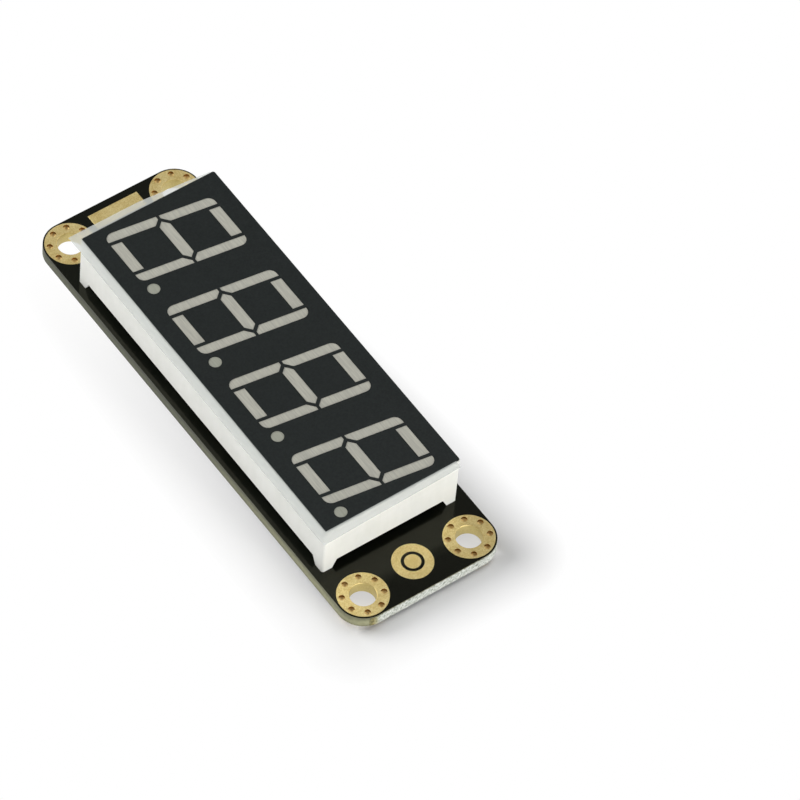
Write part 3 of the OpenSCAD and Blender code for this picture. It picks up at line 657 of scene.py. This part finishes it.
def legend_lines():
    """Plain printed outlines round the parts under the board, with a dot at the chip's first lead."""
    shape = bmesh.new()
    middle_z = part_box("circuit_board")[0].z - LEGEND_THICKNESS / 2
    pads = island_boxes("component_pads")
    reach = LEGEND_GAP + LEGEND_LINE / 2

    def line(x0, y0, x1, y1):
        size = Vector((abs(x1 - x0) + LEGEND_LINE, abs(y1 - y0) + LEGEND_LINE, LEGEND_THICKNESS))
        middle = Vector(((x0 + x1) / 2, (y0 + y1) / 2, middle_z))
        bmesh.ops.create_cube(shape, size=1,
            matrix=Matrix.Translation(middle) @ Matrix.Diagonal(size).to_4x4())

    def sides_round(boxes):
        lows, highs = zip(*boxes)
        return (min(low.x for low in lows) - reach, min(low.y for low in lows) - reach,
            max(high.x for high in highs) + reach, max(high.y for high in highs) + reach)

    for low, high in island_boxes("resistor_bodies", "capacitor_bodies"):
        middle = (low + high) / 2
        x0, y0, x1, y1 = sides_round(
            [pad for pad in pads if ((pad[0] + pad[1]) / 2 - middle).xy.length < PAD_REACH])
        for x in (x0, x1):
            line(x, y0 + LEGEND_LINE, x, y1 - LEGEND_LINE)
        for y in (y0, y1):
            line(x0, y, x1, y)
    low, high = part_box("chip_body")
    for y in (low.y - reach, high.y + reach):
        line(low.x, y, high.x, y)
    dot = Vector((high.x + LEGEND_DOT_AWAY, high.y + LEGEND_DOT_R, middle_z))
    bmesh.ops.create_cone(shape, cap_ends=True, segments=LEGEND_DOT_SIDES, radius1=LEGEND_DOT_R,
        radius2=LEGEND_DOT_R, depth=LEGEND_THICKNESS, matrix=Matrix.Translation(dot))
    back_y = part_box("socket_housing")[0].y
    x0, y0, x1, y1 = sides_round([pad for pad in pads if pad[1].y > back_y])
    for x in (x0, x1):
        line(x, y0 + LEGEND_LINE, x, y1)
    line(x0, y0, x1, y0)
    show("legend_lines", as_mesh("legend_lines", shape), None, "board", [legend])


for corner in ("far_left", "far_right", "near_left", "near_right"):
    ring_piece("ring_" + corner)
resin_segments()
film_sheet()
board_plate()
snapped_edge()
legend_lines()


# Stage

def resting_points():
    """The two points on which the part stands, seen from its side: chip at one end, socket at the other.

    They are the corners of its lower outline on either side of its middle.
    """
    spots = {(v.co.y, v.co.z) for node in frame["nodes"].values() for v in node.data.vertices}
    outline = []
    for spot in sorted(spots):
        while len(outline) > 1:
            (y0, z0), (y1, z1) = outline[-2:]
            if (y1 - y0) * (spot[1] - z0) > (z1 - z0) * (spot[0] - y0):
                break
            outline.pop()
        outline.append(spot)
    after = next(i for i, spot in enumerate(outline) if spot[0] > 0)
    return [Vector((0, y, z)) for y, z in outline[after - 1:after + 1]]


def white_paper():
    """White paper, clear from below.

    The light underneath shines through it on what the eye sees directly or in a reflection. Away
    from the part's edge, outside and inside, the eye sees the paper lifted towards white, and so it
    does in reflections. Along the edge the paper keeps the part's soft shadow.
    """
    material, tree, place = new_material("white_paper")
    past = past_sides(tree, place, "circuit_board")
    axes = split(tree, past)
    outside = add(tree, "ShaderNodeVectorMath", {"operation": "MAXIMUM", 1: (0, 0, 0)}, {0: past})
    away = add(tree, "ShaderNodeVectorMath", {"operation": "LENGTH"}, {0: outside.outputs[0]})
    fade = map_range(tree, away.outputs["Value"], 0, FLOOR_FADE)
    inside = calc(tree, "MAXIMUM", axes["X"], axes["Y"])
    shade = map_range(tree, inside, 0, -SHADE_WIDTH, 0, SHADE_LIFT)
    path = add(tree, "ShaderNodeLightPath").outputs
    eye = calc(tree, "MULTIPLY", calc(tree, "MAXIMUM", fade, shade), path["Is Camera Ray"])
    direct = calc(tree, "LESS_THAN", path["Diffuse Depth"], 1)
    shine = calc(tree, "MULTIPLY", path["Is Glossy Ray"], direct)
    lift = calc(tree, "MULTIPLY_ADD", shine, SHINE_LIFT, eye)
    seen = add(tree, "ShaderNodeMixShader", links={
        0: lift, 1: add(tree, "ShaderNodeBsdfDiffuse", {"Color": "#fafafa"}).outputs[0],
        2: add(tree, "ShaderNodeEmission", {"Color": "#ffffff", "Strength": 1}).outputs[0]})
    below = add(tree, "ShaderNodeNewGeometry").outputs["Backfacing"]
    open_way = calc(tree, "MULTIPLY_ADD", path["Is Shadow Ray"], direct, below, clamp=True)
    close(tree, "ShaderNodeMixShader", links={
        0: open_way, 1: seen.outputs[0], 2: add(tree, "ShaderNodeBsdfTransparent").outputs[0]})
    return material


def studio_floor():
    """A round of paper under the part, in the plane on which it rests."""
    rest_near, rest_far = resting_points()
    along = (rest_far - rest_near).normalized()
    centre = (rest_near + rest_far) / 2
    shape = bmesh.new()
    rim = []
    for i in range(FLOOR_SIDES):
        angle = math.tau * i / FLOOR_SIDES
        spot = centre + FLOOR_RADIUS * (math.cos(angle) * Vector((1, 0, 0)) + math.sin(angle) * along)
        rim.append(shape.verts.new(spot))
    shape.faces.new(rim)
    mesh = as_mesh("studio_floor", shape)
    mesh.materials.append(white_paper())
    floor = add_object("studio_floor", mesh)


def ceiling_card():
    """A grey card overhead that only reflections see, so that glossy black looks black."""
    material, tree, _ = new_material("grey_card")
    close(tree, "ShaderNodeEmission", {"Color": "#ffffff", "Strength": CARD_LEVEL})
    mesh = bpy.data.meshes.new("ceiling_card")
    corners = [(x * CARD_HALF, y * CARD_HALF, CARD_HEIGHT)
        for x, y in ((-1, -1), (-1, 1), (1, 1), (1, -1))]
    mesh.from_pydata(corners, [], [(0, 1, 2, 3)])
    mesh.materials.append(material)
    card = add_object("ceiling_card", mesh)
    for ray in ("camera", "diffuse", "shadow", "transmission", "volume_scatter"):
        setattr(card, "visible_" + ray, False)


def white_room():
    """White all round to the eye, grey in reflections, and a soft even light on the part."""
    world = bpy.data.worlds.new("white_room")
    bpy.context.scene.world = world
    world.use_nodes = True
    tree = world.node_tree
    tree.nodes.clear()
    path = add(tree, "ShaderNodeLightPath").outputs
    light, shine, white = [
        add(tree, "ShaderNodeBackground", {"Color": "#ffffff", "Strength": level}).outputs[0]
        for level in (ROOM_LEVEL, ROOM_SHINE, 1)]
    around = add(tree, "ShaderNodeMixShader", links={0: path["Is Glossy Ray"], 1: light, 2: shine})
    seen = calc(tree, "MAXIMUM", path["Is Camera Ray"], path["Is Transmission Ray"])
    mixed = add(tree, "ShaderNodeMixShader", links={0: seen, 1: around.outputs[0], 2: white})
    add(tree, "ShaderNodeOutputWorld", links={"Surface": mixed.outputs[0]})


def direction(azimuth, elevation):
    """From the part towards a place seen at this azimuth and elevation, 0 being the near end."""
    a, e = math.radians(azimuth), math.radians(elevation)
    return Vector((math.sin(a) * math.cos(e), -math.cos(a) * math.cos(e), math.sin(e)))


def soft_light(name, azimuth, elevation, height_mm, level):
    """A light with a large face, turned to the part."""
    lamp = bpy.data.lights.new(name, "AREA")
    lamp.shape = "RECTANGLE"
    lamp.size = LIGHT_WIDTH
    lamp.size_y = height_mm * MM
    lamp.energy = level * (math.pi * LIGHT_DISTANCE) ** 2
    light = add_object(name, lamp)
    back = direction(azimuth, elevation)
    light.location = back * LIGHT_DISTANCE
    light.rotation_mode = "QUATERNION"
    light.rotation_quaternion = back.to_track_quat("Z", "Y")


def photo_camera():
    """The photograph's view of the part."""
    back = direction(CAMERA_AZIMUTH, CAMERA_ELEVATION)
    level = Vector((math.cos(math.radians(CAMERA_AZIMUTH)), math.sin(math.radians(CAMERA_AZIMUTH)), 0))
    upright = back.cross(level)
    roll = math.radians(CAMERA_ROLL)
    right = level * math.cos(roll) + upright * math.sin(roll)
    up = upright * math.cos(roll) - level * math.sin(roll)
    data = bpy.data.cameras.new("photo_camera")
    data.lens = CAMERA_LENS
    data.sensor_width = SENSOR_WIDTH
    camera = add_object("photo_camera", data)
    turn = Matrix((right, up, back)).transposed().to_4x4()
    camera.matrix_world = Matrix.Translation(CAMERA_TARGET + back * CAMERA_DISTANCE) @ turn
    bpy.context.scene.camera = camera


studio_floor()
white_room()
ceiling_card()
for name, settings in LIGHTS.items():
    soft_light(name, *settings)
photo_camera()
bpy.context.scene.view_settings.view_transform = "Standard"
